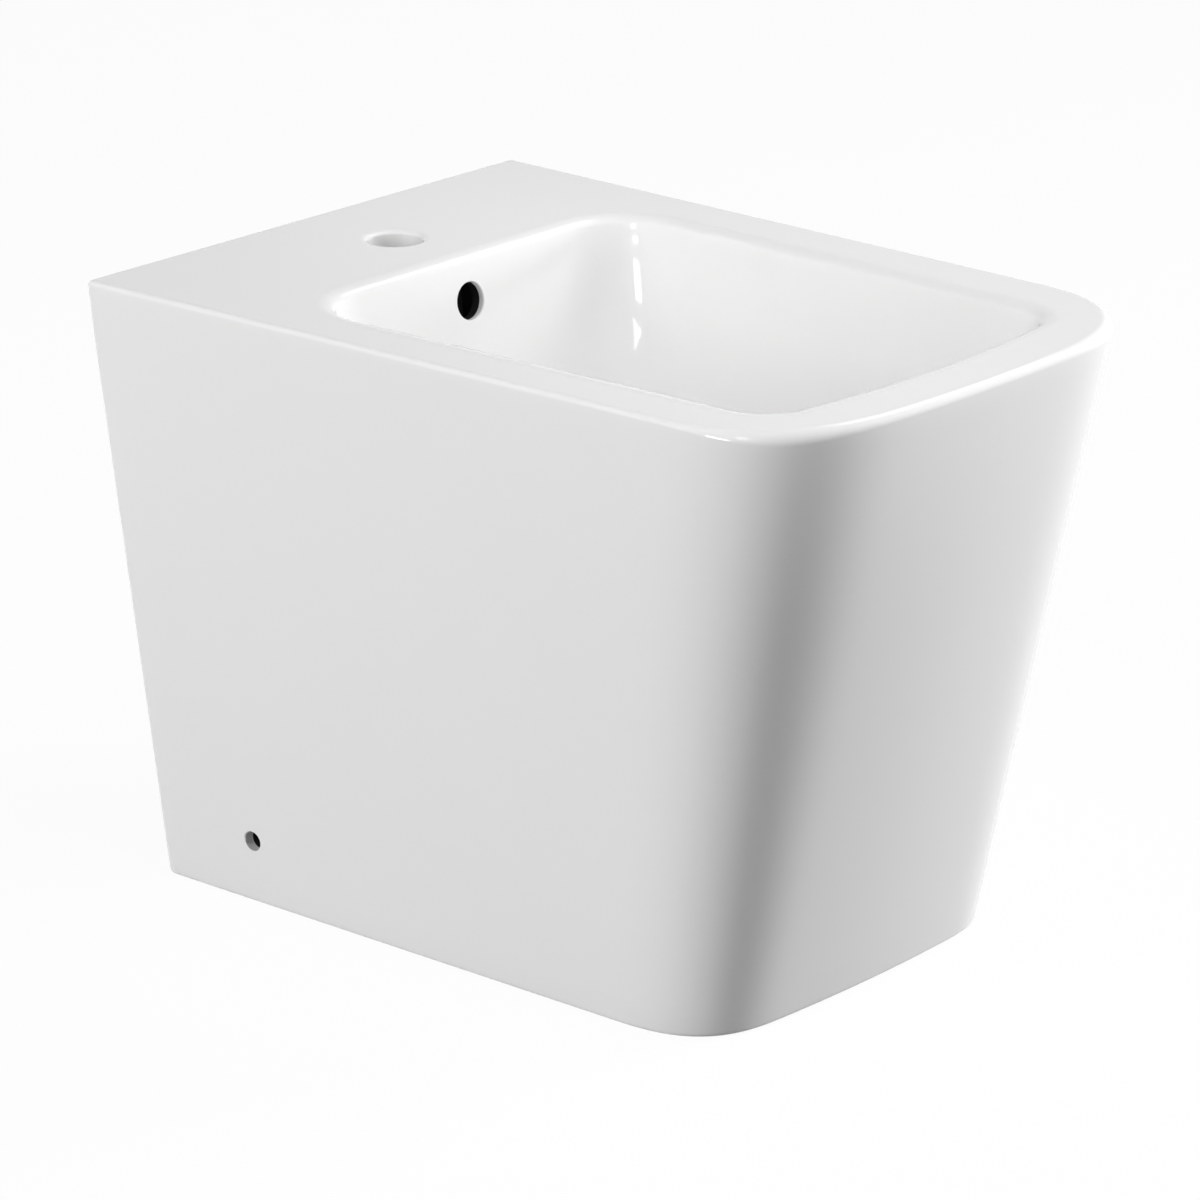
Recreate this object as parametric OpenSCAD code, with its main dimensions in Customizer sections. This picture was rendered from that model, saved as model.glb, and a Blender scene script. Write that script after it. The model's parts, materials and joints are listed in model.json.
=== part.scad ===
// Square floor-standing bidet whose open back stands against the wall.
// Millimetres. Floor at z = 0, wall towards +Y, front towards -Y.

/* [China body] */
// Height of the rim above the floor
body_h = 400; // [385:1:420]
// Depth from the wall to the front of the rim
body_l = 550; // [530:1:590]
// Width of the rim at the wall
body_w = 392; // [375:1:410]
// How far the front tucks in between rim and floor
front_lean = 84; // [60:1:90]
// How far each side tucks in between rim and floor
side_lean = 41.5; // [25:0.5:45]
// How far the back draws in between its upright land and the floor
back_lean = 12; // [0:0.5:16]
// Height of the upright land that meets the wall, below the rim
wall_land = 30; // [22:1:50]
// How much each side of the rim draws in from wall to front
rim_taper = 14; // [6:1:18]
// How much each side of the foot draws in from wall to front
foot_taper = 6.5; // [2:0.5:12]
// Swell of the front edge at the rim
rim_bow = 14; // [8:1:20]
// Swell of the front edge at the floor
foot_bow = 8; // [4:1:12]
// Reach of the soft front corners along the front, at the rim
rim_corner_front = 126; // [100:1:140]
// Reach of the soft front corners along the side, at the rim
rim_corner_side = 100; // [80:1:120]
// Reach of the soft front corners along the front, at the floor
foot_corner_front = 72; // [56:1:90]
// Reach of the soft front corners along the side, at the floor
foot_corner_side = 76; // [60:1:90]
// Fullness of the soft front corners: 2 is a plain ellipse, more is squarer
corner_power = 3; // [2.4:0.1:3.4]
// Radius of the corners at the wall, at the rim
wall_corner = 4; // [3:0.5:8]
// Radius of the corners at the wall, at the floor
foot_wall_corner = 11; // [8:0.5:16]
// Roll of the outer top edge
edge_r = 3; // [2:0.5:6]
// Thickness of the cast walls
wall_t = 12; // [9:0.5:13]
// Thickness of the rear deck and the rim
deck_t = 16; // [13:0.5:20]
// Width of the flat foot ring
foot_w = 18; // [15:0.5:24]
// Width of the open back
back_open_w = 230; // [180:1:250]
// Height of the open back
back_open_h = 300; // [260:1:320]

/* [Bowl] */
// Depth of the deck between the wall and the bowl
deck_l = 137.5; // [125:0.5:150]
// Width of the rim in front of the bowl
front_rim = 44; // [42:0.5:52]
// Width of the rim beside the bowl, at the wall end
side_rim = 48; // [45:0.5:54]
// How much each side of the bowl draws in towards the front
bowl_taper = 11; // [6:0.5:14]
// Swell of the bowl's front edge
bowl_bow = 12.5; // [8:0.5:18]
// Radius of the bowl's front corners at the rim
bowl_front_corner = 30; // [24:1:44]
// Radius of the bowl's rear corners at the rim
bowl_rear_corner = 44; // [34:1:52]
// Radius of the bowl's corners at its floor
floor_corner = 72; // [60:1:74]
// Roll of the bowl's top edge
lip_r = 8; // [5:0.5:10]
// Depth of the bowl where the floor starts to flatten
bowl_depth = 150; // [140:1:160]
// Radius between the bowl's walls and floor
floor_r = 40; // [30:1:42]
// Fall of the bowl's floor to the outlet
floor_fall = 12; // [6:0.5:16]

/* [Holes in the china] */
// Distance of the tap hole from the wall
tap_back = 77.5; // [65:0.5:85]
// Diameter of the tap hole
tap_d = 35; // [32:0.5:38]
// Distance of the outlet from the wall
outlet_back = 265; // [255:1:285]
// Diameter of the outlet bore
outlet_d = 46; // [45:0.5:50]
// Depth of the outlet boss below the flange seat
outlet_boss_h = 44; // [40:1:50]
// Diameter of the overflow hole
overflow_d = 24; // [20:0.5:26]
// Depth of the overflow hole's centre below the rim
overflow_drop = 29; // [28:0.5:36]
// Width of the overflow channel
channel_w = 30; // [27:0.5:34]
// Thickness of the overflow channel
channel_t = 12; // [9:0.5:14]
// Diameter of the side fixing holes
side_hole_d = 13; // [12.5:0.1:16]
// Distance of the side fixing holes from the wall
side_hole_back = 96; // [84:1:110]
// Height of the side fixing holes above the floor
side_hole_z = 43; // [38:1:50]
// Depth of the wide part of the side fixing holes
side_hole_depth = 20; // [16:0.5:21]

/* [Waste] */
// Outer diameter of the waste's threaded tube
tube_d = 42; // [41:0.1:43]
// Wall of the threaded tube
tube_wall = 3; // [2.5:0.1:3.5]
// Length of the waste below its flange
tube_l = 92; // [89:1:110]
// Length of the plain tail below the thread
tail_l = 20; // [14:1:22]
// How far the plain tail is turned down below the thread
tail_step = 1; // [0.5:0.1:1.5]
// Diameter of the waste flange
flange_d = 64; // [62:0.5:65]
// Thickness of the waste flange
flange_t = 2.5; // [2:0.1:3]
// Thickness of the gasket under the flange
gasket_t = 1.5; // [1:0.1:2]
// Travel of the plug between open and closed
plug_travel = 9; // [7:0.5:10]
// Diameter of the plug's cap
plug_d = 58; // [54:0.5:60]
// Diameter of the plug's stem
stem_d = 8; // [7:0.1:9]
// Outer diameter of the click cartridge
cartridge_d = 16; // [15.5:0.1:17]
// Wire of the cartridge spring
spring_wire = 1.4; // [1.2:0.1:1.6]
// Turns of the cartridge spring
spring_turns = 5; // [4:0.5:6]
// Width across the flats of the back nut
back_nut_af = 55; // [52:1:60]
// Height of the back nut
back_nut_h = 11; // [8:0.5:14]

/* [Floor fixings] */
// Thickness of the brackets
bracket_t = 5; // [4:0.5:6]
// Width of the brackets along the wall of the body
bracket_w = 40; // [36:1:50]
// Height of the brackets
bracket_h = 62; // [58:1:70]
// Length of the brackets' floor leg
bracket_foot = 46; // [40:1:60]
// Diameter of the floor screw hole
floor_hole_d = 8.5; // [6:0.5:10]
// Distance of the floor screw hole from the upright leg's outer face
floor_hole_in = 25; // [22:0.5:30]
// Diameter of the clamp screws
clamp_d = 6; // [5:0.5:6]
// Wall that the clamp screws squeeze
clamp_land = 8; // [6:0.5:10]

/* [Hidden] */
$fn = 96;

// Clearance between pieces that touch without moving
seat = 0.05;
// Clearance of sliding fits, on the radius
slide = 0.08;
// Overlap of cutters and of joined solids
over = 1;

// Places that follow from the driving dimensions
wall_y = body_l / 2;
front_y = -body_l / 2;
top_z = body_h - edge_r;
outlet_y = wall_y - outlet_back;
tap_y = wall_y - tap_back;
outlet_z = body_h - bowl_depth - floor_fall;
seat_z = outlet_z - flange_t - gasket_t;
boss_z = seat_z - outlet_boss_h;
boss_wall = 16;
boss_r = outlet_d / 2 + boss_wall;
dish_r = flange_d / 2 + 1;
dish_rim = 5;
arc_depth = bowl_depth - floor_r;
bowl_rear_y = wall_y - deck_l;
bowl_front_y = front_y + front_rim;
bowl_half = body_w / 2 - side_rim;
hollow_r = 7;
back_open_r = 40;

// Foot ring: its height, the height over which it fades, and its rolled edge
foot_h = 20;
foot_fade = 14;
foot_r = 3;

// Duct: its clearance behind the bowl's wall, its own walls and rounded foot
channel_front = 10;
rib_side = 9;
rib_foot = 8;

// Wall round a side fixing hole, slack of the screw, and flare of the tap hole
side_boss_wall = 14;
cast_slack = 0.5;
mouth_flare = 1.5;
// Reach of a cutter beyond a leaning face
reach = 20;

// Slopes of the bowl's walls, sideways millimetres per millimetre of depth
side_slope = 0.12;
rear_slope = 0.15;
front_slope = 0.30;

// Segments of half an outline: front, front corner, side, rear corner, wall
n_front = 5;
n_corner = 9;
n_side = 4;
n_rear = 6;
n_back = 4;

function mix(a, b, t) = a + (b - a) * t;

// Half an outline of the bowl, from the middle of the front round to the wall side.
// The front is one wide arc of the given swell, and the sides are straight.
function half_outline(half_rear, half_front, yf, yr, bow, rf, rr) =
    let(
        lean = (half_rear - half_front) / (yr - yf),
        k = sqrt(1 + lean * lean),
        out = [1 / k, -lean / k],
        along = [lean / k, 1 / k],
        big = (half_front * half_front + bow * bow) / (2 * bow),
        mid = [0, yf + big],
        q = [half_front, yf] - rf * out,
        w = q - mid,
        b = w * along,
        run = -b - sqrt(max(0, b * b - w * w + (big - rf) * (big - rf))),
        cf = q + run * along,
        a_front = atan2(cf[1] - mid[1], cf[0] - mid[0]),
        a_side = atan2(out[1], out[0]),
        base = [half_front, yf] - rr * out,
        cr = [base[0] + (yr - rr - base[1]) * lean, yr - rr],
        p_front = cf + rf * out,
        p_rear = cr + rr * out
    )
    concat(
        [for (i = [0 : n_front - 1])
            let(a = mix(-90, a_front, i / n_front))
            mid + big * [cos(a), sin(a)]],
        [for (i = [0 : n_corner - 1])
            let(a = mix(a_front, a_side, i / n_corner))
            cf + rf * [cos(a), sin(a)]],
        [for (i = [0 : n_side - 1])
            mix(p_front, p_rear, i / n_side)],
        [for (i = [0 : n_rear - 1])
            let(a = mix(a_side, 90, i / n_rear))
            cr + rr * [cos(a), sin(a)]],
        [for (i = [0 : n_back])
            [mix(cr[0], 0, i / n_back), yr]]
    );

// Half the skin's outline, from the middle of the front round to the wall.
// Its front corner is a quarter superellipse between two tangents, so its curve
// grows from nothing where it leaves the front and the side.
function soft_half_outline(half_rear, half_front, yf, yr, bow, front_reach, side_reach, rr) =
    let(
        lean = (half_rear - half_front) / (yr - yf),
        k = sqrt(1 + lean * lean),
        big = (half_front * half_front + bow * bow) / (2 * bow),
        mid = [0, yf + big],
        a_end = asin((half_front - front_reach) / big),
        p_front = mid + big * [sin(a_end), -cos(a_end)],
        gap = half_front + lean * (p_front[1] - yf) - p_front[0],
        tip = p_front + [cos(a_end), sin(a_end)] * gap / (cos(a_end) - lean * sin(a_end)),
        p_side = tip + side_reach * [lean, 1] / k,
        middle = p_front + p_side - tip,
        a_side = atan2(-lean, 1),
        base = [half_front, yf] - rr * [1, -lean] / k,
        cr = [base[0] + (yr - rr - base[1]) * lean, yr - rr],
        p_rear = cr + rr * [1, -lean] / k
    )
    concat(
        [for (i = [0 : n_front - 1])
            let(a = a_end * i / n_front)
            mid + big * [sin(a), -cos(a)]],
        [for (i = [0 : n_corner - 1])
            let(
                a = 90 * (1 - i / n_corner),
                r = pow(pow(cos(a), corner_power) + pow(sin(a), corner_power), -1 / corner_power)
            )
            middle + r * (cos(a) * (tip - p_front) + sin(a) * (tip - p_side))],
        [for (i = [0 : n_side - 1])
            mix(p_side, p_rear, i / n_side)],
        [for (i = [0 : n_rear - 1])
            let(a = mix(a_side, 90, i / n_rear))
            cr + rr * [cos(a), sin(a)]],
        [for (i = [0 : n_back])
            [mix(cr[0], 0, i / n_back), yr]]
    );

// Whole outline from its right half, anticlockwise seen from above
function whole(half) =
    concat(half, [for (i = [len(half) - 2 : -1 : 1]) [-half[i][0], half[i][1]]]);

// Back of the casting at height z
function back_y(z) = wall_y - back_lean * (1 - min(1, z / (body_h - wall_land)));

// Level of the outer skin at height z, drawn in by d
function skin(z, d) =
    let(
        t = min(1, z / top_z),
        half = body_w / 2 - side_lean * (1 - t),
        taper = mix(foot_taper, rim_taper, t)
    )
    whole(soft_half_outline(
        half - d, half - taper - d,
        front_y + front_lean * (1 - t) + d, back_y(z) - d,
        mix(foot_bow, rim_bow, t),
        mix(foot_corner_front, rim_corner_front, t) - d,
        mix(foot_corner_side, rim_corner_side, t) - d,
        max(1, mix(foot_wall_corner, wall_corner, t) - d)
    ));

// How far a bowl wall of the given slope has come in at a depth.
// The wall is straight down to arc_depth, then one arc turns it level.
function wall_in(depth, slope, out) =
    depth <= arc_depth
        ? slope * depth
        : let(
            a0 = atan(slope),
            r = (floor_r + out) / (1 - sin(a0)),
            a = asin(min(1, sin(a0) + (depth - arc_depth) / r))
        )
        slope * arc_depth + r * (cos(a0) - cos(a));

// Level of the bowl's skin at a depth below the rim, grown outwards by out
function bowl(depth, out) =
    let(
        t = min(1, depth / bowl_depth),
        side = wall_in(depth, side_slope, out),
        rf = mix(bowl_front_corner, floor_corner - bowl_taper, t),
        rr = mix(bowl_rear_corner, floor_corner, t)
    )
    whole(half_outline(
        bowl_half - side + out, bowl_half - bowl_taper - side + out,
        bowl_front_y + wall_in(depth, front_slope, out) - out,
        bowl_rear_y - wall_in(depth, rear_slope, out) + out,
        bowl_bow,
        min(rf + out, bowl_half - bowl_taper - side + out - 2),
        min(rr + out, bowl_half - side + out - 2)
    ));

// Circle round the outlet whose points lie in the directions of an outline
function outlet_ring(outline, r) =
    [for (p = outline)
        let(v = p - [0, outlet_y])
        [0, outlet_y] + r * v / norm(v)];

function level(outline, z) = [for (p = outline) [p[0], p[1], z]];

// Floor of the bowl between its arc and the outlet, at share t of the way
function floor_level(t, out, ring_r) =
    let(
        edge = bowl(bowl_depth + out, out),
        ring = outlet_ring(edge, ring_r)
    )
    level(
        [for (i = [0 : len(edge) - 1]) mix(edge[i], ring[i], t)],
        body_h - bowl_depth - out - floor_fall * (1 - cos(180 * t)) / 2
    );

// Depths of the arc between wall and floor, even steps of its angle
function arc_steps(out, n) =
    [for (i = [0 : n]) arc_depth + (floor_r + out) * sin(90 * i / n)];

// All levels of the casting in order: bowl, rim, outside, foot and hollow
function china_levels() = concat(
    [for (i = [4 : -1 : 1]) floor_level(i / 4, 0, dish_r + dish_rim)],
    [for (d = [for (i = [8 : -1 : 0]) arc_steps(0, 8)[i]]) level(bowl(d, 0), body_h - d)],
    [for (i = [0 : 5])
        let(a = 90 * i / 5)
        level(bowl(lip_r, lip_r * (1 - cos(a))), body_h - lip_r * (1 - sin(a)))],
    [for (i = [5 : -1 : 0])
        let(a = 90 * i / 5)
        level(skin(top_z, edge_r * (1 - cos(a))), body_h - edge_r * (1 - sin(a)))],
    [level(skin(body_h - wall_land, 0), body_h - wall_land)],
    [for (i = [3 : -1 : 1]) level(skin(top_z * i / 4, 0), top_z * i / 4)],
    [for (i = [0 : 2])
        let(a = 45 * i, d = foot_r * (1 - cos(a)))
        level(skin(foot_r, d), foot_r * (1 - sin(a)))],
    [level(skin(0, foot_w), 0), level(skin(foot_h, foot_w), foot_h)],
    [level(skin(foot_h + foot_fade, wall_t), foot_h + foot_fade)],
    [for (i = [1 : 3])
        let(z = top_z * i / 4)
        level(skin(z, wall_t), z)],
    [for (i = [0 : 3])
        let(a = 30 * i, z = body_h - deck_t - hollow_r * (1 - sin(a)))
        level(skin(z, wall_t + hollow_r * (1 - cos(a))), z)],
    [for (i = [3 : -1 : 0])
        let(a = 30 * i, d = deck_t + hollow_r * (1 - sin(a)))
        level(bowl(d, wall_t + hollow_r * (1 - cos(a))), body_h - d)],
    [for (d = arc_steps(wall_t, 7)) level(bowl(d, wall_t), body_h - d)],
    [for (i = [1 : 3]) floor_level(i / 3, wall_t, boss_r + wall_t / 3)],
    [level(outlet_ring(bowl(bowl_depth, 0), boss_r), outlet_z - wall_t - dish_rim)],
    [level(outlet_ring(bowl(bowl_depth, 0), boss_r), boss_z)]
);

// Closed solid through levels of equally many points
module loft(levels) {
    n = len(levels[0]);
    m = len(levels);
    points = [for (l = levels) each l];
    faces = concat(
        [[for (i = [0 : n - 1]) n - 1 - i]],
        [for (j = [0 : m - 2]) for (i = [0 : n - 1])
            [j * n + i, j * n + (i + 1) % n, (j + 1) * n + i]],
        [for (j = [0 : m - 2]) for (i = [0 : n - 1])
            [j * n + (i + 1) % n, (j + 1) * n + (i + 1) % n, (j + 1) * n + i]],
        [[for (i = [0 : n - 1]) (m - 1) * n + i]]
    );
    polyhedron(points, faces, convexity = 10);
}

// Prism of a profile drawn as y and z, centred on the middle plane
module prism_x(profile, w) {
    translate([-w / 2, 0, 0])
        rotate([90, 0, 90])
            linear_extrude(w)
                polygon(profile);
}

module pipe(d_out, d_in, h) {
    difference() {
        cylinder(d = d_out, h = h);
        translate([0, 0, -over])
            cylinder(d = d_in, h = h + 2 * over);
    }
}

// Place of a line k behind the bowl's rear wall at height z
function behind(k, z) =
    bowl_rear_y - rear_slope * (body_h - z) + k * sqrt(1 + rear_slope * rear_slope);

channel_top = body_h - deck_t - over;
channel_z = outlet_z - channel_front;

// The duct cast behind the bowl's rear wall and under its floor
module duct_rib() {
    back = channel_front + channel_t + rib_side;
    top = body_h - deck_t / 2;
    low = channel_z - channel_t - rib_side;
    mid = wall_t / 2;
    inner = concat(
        [[behind(mid, top), top]],
        [for (d = arc_steps(mid, 6))
            [bowl_rear_y - wall_in(d, rear_slope, mid) + mid, body_h - d]],
        [[outlet_y + boss_r - rib_foot / 2, outlet_z - mid], [outlet_y, outlet_z - mid]]
    );
    outer = [[outlet_y, low], [behind(back, low) - rib_foot, low],
        [behind(back, low + rib_foot), low + rib_foot], [behind(back, top), top]];
    prism_x(concat(inner, outer), channel_w + 2 * rib_side);
}

// The water's way from the overflow hole to the outlet bore
module duct_channel() {
    low = channel_z - channel_t;
    prism_x([
        [behind(channel_front, channel_top), channel_top],
        [behind(channel_front, channel_z), channel_z],
        [outlet_y, channel_z],
        [outlet_y, low],
        [behind(channel_front + channel_t, low), low],
        [behind(channel_front + channel_t, channel_top), channel_top]
    ], channel_w);
}

// Outer face of the body beside a side fixing hole
side_share = side_hole_z / top_z;
side_y = wall_y - side_hole_back;
side_front_y = front_y + front_lean * (1 - side_share);
side_x = body_w / 2 - side_lean * (1 - side_share)
    - mix(foot_taper, rim_taper, side_share)
    * (back_y(side_hole_z) - side_y) / (back_y(side_hole_z) - side_front_y);
step_x = side_x - side_hole_depth;
land_x = step_x - clamp_land;

// A cylinder along X from x0 out to x1, beside the right-hand fixing hole
module side_bar(d, x0, x1) {
    translate([x0, side_y, side_hole_z])
        rotate([0, 90, 0])
            cylinder(d = d, h = x1 - x0);
}

module both_sides() {
    children();
    mirror([1, 0, 0])
        children();
}

// Tapered mouth of a hole whose axis is +Z and whose opening lies at z = 0
module mouth(d, size) {
    translate([0, 0, -size])
        cylinder(d1 = d, d2 = d + 4 * size, h = 2 * size);
}

module back_opening() {
    r = back_open_r;
    half = back_open_w / 2;
    profile = concat(
        [[-half, -over], [half, -over]],
        [for (i = [0 : 6]) [half - r + r * cos(15 * i), back_open_h - r + r * sin(15 * i)]],
        [for (i = [0 : 6]) [-half + r - r * sin(15 * i), back_open_h - r + r * cos(15 * i)]]
    );
    translate([0, wall_y + over, 0])
        rotate([90, 0, 0])
            linear_extrude(back_lean + foot_w + 3 * over)
                polygon(profile);
}

module china_body() {
    color("whitesmoke")
    difference() {
        union() {
            loft(china_levels());
            duct_rib();
            both_sides()
                side_bar(side_hole_d + 2 * side_boss_wall, land_x, side_x - wall_t / 2);
        }
        duct_channel();
        back_opening();
        translate([0, outlet_y, boss_z - over])
            cylinder(d = outlet_d, h = outlet_z - boss_z + 2 * over);
        translate([0, outlet_y, seat_z])
            cylinder(r = dish_r, h = flange_t + gasket_t + over);
        translate([0, tap_y, body_h - deck_t - 2 * over])
            cylinder(d = tap_d, h = deck_t + 3 * over);
        translate([0, tap_y, body_h])
            mouth(tap_d, mouth_flare);
        translate([0, bowl_rear_y - reach, body_h - overflow_drop])
            rotate([-90, 0, 0])
                cylinder(d = overflow_d, h = reach + channel_front + channel_t / 2);
        both_sides()
            side_bar(side_hole_d, step_x, side_x + reach);
        both_sides()
            side_bar(clamp_d + 2 * cast_slack, land_x - over, step_x + over);
    }
}

tube_r = tube_d / 2;
bore_r = tube_r - tube_wall;
tail_r = tube_r - tail_step;
tube_z = seat_z + gasket_t - tube_l;
tail_top = tube_z + tail_l;
flange_z = seat_z + gasket_t;
// Chamfers of the tube and the flange, and the cone that the plug closes on
tube_edge = 1;
flange_edge = 0.8;
cone = 5;
window_w = 12;
window_h = 18;
// Cross bar: its height, its place above the tube's end, its hub and spokes
bar_h = 8;
bar_up = 24;
bar_z = tube_z + bar_up;
hub_wall = 4;
spoke_w = 4;

// Chromed tube with its flange, overflow windows and inner cross bar
module waste_body() {
    color("silver")
    translate([0, outlet_y, 0])
    difference() {
        union() {
            difference() {
                rotate_extrude()
                    polygon([
                        [bore_r, tube_z], [tail_r - tube_edge, tube_z],
                        [tail_r, tube_z + tube_edge], [tail_r, tail_top],
                        [tube_r, tail_top + tail_step], [tube_r, flange_z],
                        [flange_d / 2 - flange_edge, flange_z],
                        [flange_d / 2, flange_z + flange_edge],
                        [flange_d / 2, outlet_z - flange_edge],
                        [flange_d / 2 - flange_edge, outlet_z],
                        [bore_r + cone, outlet_z], [bore_r, outlet_z - cone]
                    ]);
                for (a = [45 : 90 : 315])
                    rotate([0, 0, a])
                        translate([bore_r - over, -window_w / 2, channel_z - window_h + over])
                            cube([tube_wall + 2 * over, window_w, window_h]);
            }
            translate([0, 0, bar_z])
                cylinder(r = cartridge_d / 2 + hub_wall, h = bar_h);
            for (a = [30 : 120 : 270])
                rotate([0, 0, a])
                    translate([cartridge_d / 2 + over, -spoke_w / 2, bar_z])
                        cube([bore_r - cartridge_d / 2, spoke_w, bar_h]);
        }
        translate([0, 0, bar_z - over])
            cylinder(r = cartridge_d / 2 + seat, h = bar_h + 2 * over);
    }
}

// Washers: reach beyond the tube, heights, chamfer of the rubber and of the nut
washer_w = 9;
washer_h = 8;
washer_edge = 2;
washer_cone = 4;
slip_t = 2;
nut_edge = 3;
slip_z = boss_z - washer_h - slip_t;

// Foam ring between the flange and its seat in the china
module flange_gasket() {
    color("dimgray")
    translate([0, outlet_y, seat_z])
        pipe(flange_d - 2 * flange_edge, tube_d + tube_edge, gasket_t);
}

// Rubber cone that seals the underside of the outlet boss
module tapered_washer() {
    color("dimgray")
    translate([0, outlet_y, 0])
    rotate_extrude()
        polygon([
            [tube_r + seat, boss_z - washer_h],
            [tube_r + washer_w - washer_edge, boss_z - washer_h],
            [tube_r + washer_w, boss_z - washer_h + washer_edge],
            [tube_r + washer_w, boss_z - washer_cone],
            [tube_r + washer_w - washer_cone, boss_z],
            [tube_r + seat, boss_z]
        ]);
}

// Slippery ring that lets the nut turn under the rubber
module slip_washer() {
    color("white")
    translate([0, outlet_y, slip_z])
        pipe(tube_d + 2 * washer_w, tube_d + 2 * seat, slip_t);
}

// Hexagonal nut that pulls the waste down
module back_nut() {
    color("silver")
    translate([0, outlet_y, slip_z - back_nut_h])
    difference() {
        intersection() {
            cylinder(d = back_nut_af / cos(30), h = back_nut_h, $fn = 6);
            rotate_extrude()
                polygon([
                    [0, 0], [back_nut_af / 2 + over, 0],
                    [back_nut_af / 2 + over + 1.5 * nut_edge, nut_edge],
                    [back_nut_af / 2 + over + 1.5 * nut_edge, back_nut_h], [0, back_nut_h]
                ]);
        }
        translate([0, 0, -over])
            cylinder(r = tube_r + seat, h = back_nut_h + 2 * over);
    }
}

// Cartridge: its floor, wall, height and the shoulder on the cross bar
cartridge_floor = 4;
cartridge_wall = 1.8;
cartridge_h = 38;
shoulder_w = 2;
shoulder_h = 3;
cartridge_z = bar_z - cartridge_floor;
cartridge_top = cartridge_z + cartridge_h;
cap_h = 4;
cap_lip = 1;
sleeve_r = cartridge_d / 2 - cartridge_wall;
// Plug: its height over the flange when shut, and its hub
shut_gap = 0.4;
cap_underside = outlet_z + shut_gap + plug_travel;
hub_h = 5;
hub_z = cap_underside - hub_h;
socket = 1;
seal_h = 4;

// Plastic sleeve that holds the latch, screwed into the cross bar
module click_cartridge() {
    color("gainsboro")
    translate([0, outlet_y, cartridge_z])
    difference() {
        union() {
            cylinder(d = cartridge_d, h = cartridge_h);
            translate([0, 0, cartridge_floor + bar_h])
                cylinder(r = cartridge_d / 2 + shoulder_w, h = shoulder_h);
        }
        translate([0, 0, cartridge_floor])
            cylinder(r = sleeve_r, h = cartridge_h);
    }
}

// Screwed top of the cartridge, the upper stop of the stem
module cartridge_cap() {
    color("gainsboro")
    translate([0, outlet_y, cartridge_top])
        pipe(cartridge_d + 2 * cap_lip, stem_d + 2 * slide, cap_h);
}

spring_z = cartridge_top + cap_h;
spring_r = stem_d / 2 + 1.2 + spring_wire;
spring_h = hub_z - spring_z - 2 * slide;

// Section of the wire after it has turned to angle a
function wire_ring(a, z, sides) =
    [for (i = [0 : sides - 1])
        let(b = -360 * i / sides, r = spring_r + spring_wire / 2 * cos(b))
        [r * cos(a), r * sin(a), z + spring_wire / 2 * sin(b)]];

// Turns of the spring's wire, with one close turn at each end
wire_turns = spring_turns + 2;
wire_steps = 12;
close_gap = 0.5;
close_pitch = spring_wire + close_gap;

// Height of the wire's centre after u turns
function wire_rise(u) =
    let(open_rise = spring_h - spring_wire - 2 * close_pitch)
    u < 1 ? close_pitch * u
    : u > wire_turns - 1 ? spring_h - spring_wire - close_pitch * (wire_turns - u)
    : close_pitch + open_rise * (u - 1) / spring_turns;

// Clear height between neighbouring turns, at its least along the wire
turn_gap = min([for (i = [0 : wire_steps * (wire_turns - 1)])
    wire_rise(i / wire_steps + 1) - wire_rise(i / wire_steps)]) - spring_wire;
echo(turn_gap = turn_gap);

// Wire spring between the cartridge and the plug's hub
module cartridge_spring() {
    color("darkgray")
    translate([0, outlet_y, spring_z])
        loft([for (i = [0 : wire_steps * wire_turns])
            wire_ring(360 * i / wire_steps, slide + spring_wire / 2 + wire_rise(i / wire_steps), 6)]);
}

// Domed chrome cap over the outlet, lifted by the travel when open
module plug_cap() {
    dome = 4;
    brim = 1.6;
    edge = 0.6;
    half = plug_d / 2;
    color("silver")
    translate([0, outlet_y, cap_underside])
    difference() {
        union() {
            rotate_extrude()
                polygon(concat(
                    [[0, 0], [half - edge, 0], [half, edge]],
                    [for (i = [0 : 8])
                        [half * cos(90 * i / 8), brim + dome * sin(90 * i / 8)]]
                ));
            translate([0, 0, -hub_h])
                cylinder(r = stem_d / 2 + hub_wall, h = hub_h + over);
        }
        translate([0, 0, -hub_h - over])
            cylinder(r = stem_d / 2 + seat, h = hub_h + over + socket);
    }
}

// Rubber ring under the cap that closes on the flange's cone
module plug_seal() {
    top = cap_underside;
    bottom = top - seal_h;
    inner = stem_d / 2 + hub_wall + seat;
    color("dimgray")
    translate([0, outlet_y, 0])
    rotate_extrude()
        polygon([
            [inner, top], [bore_r + cone - 1, top], [bore_r + cone - 1, top - 1],
            [bore_r + cone - seal_h, bottom], [inner, bottom]
        ]);
}

collar_h = 3;
stem_end = 3;
stem_bottom = cartridge_top - slide - collar_h - stem_end;

// Rod that carries the cap and slides in the cartridge
module plug_stem() {
    color("goldenrod")
    translate([0, outlet_y, stem_bottom])
        cylinder(d = stem_d, h = cap_underside + socket - seat - stem_bottom);
}

// Collar on the stem that meets the cartridge's cap when the plug is open
module stem_collar() {
    color("gainsboro")
    translate([0, outlet_y, cartridge_top - slide - collar_h])
        pipe(2 * (sleeve_r - slide), stem_d + 2 * seat, collar_h);
}

bracket_x = land_x - seat;
gusset_t = 4;
gusset_low = 3;
gusset_drop = 8;
drill_slack = 0.3;

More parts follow.
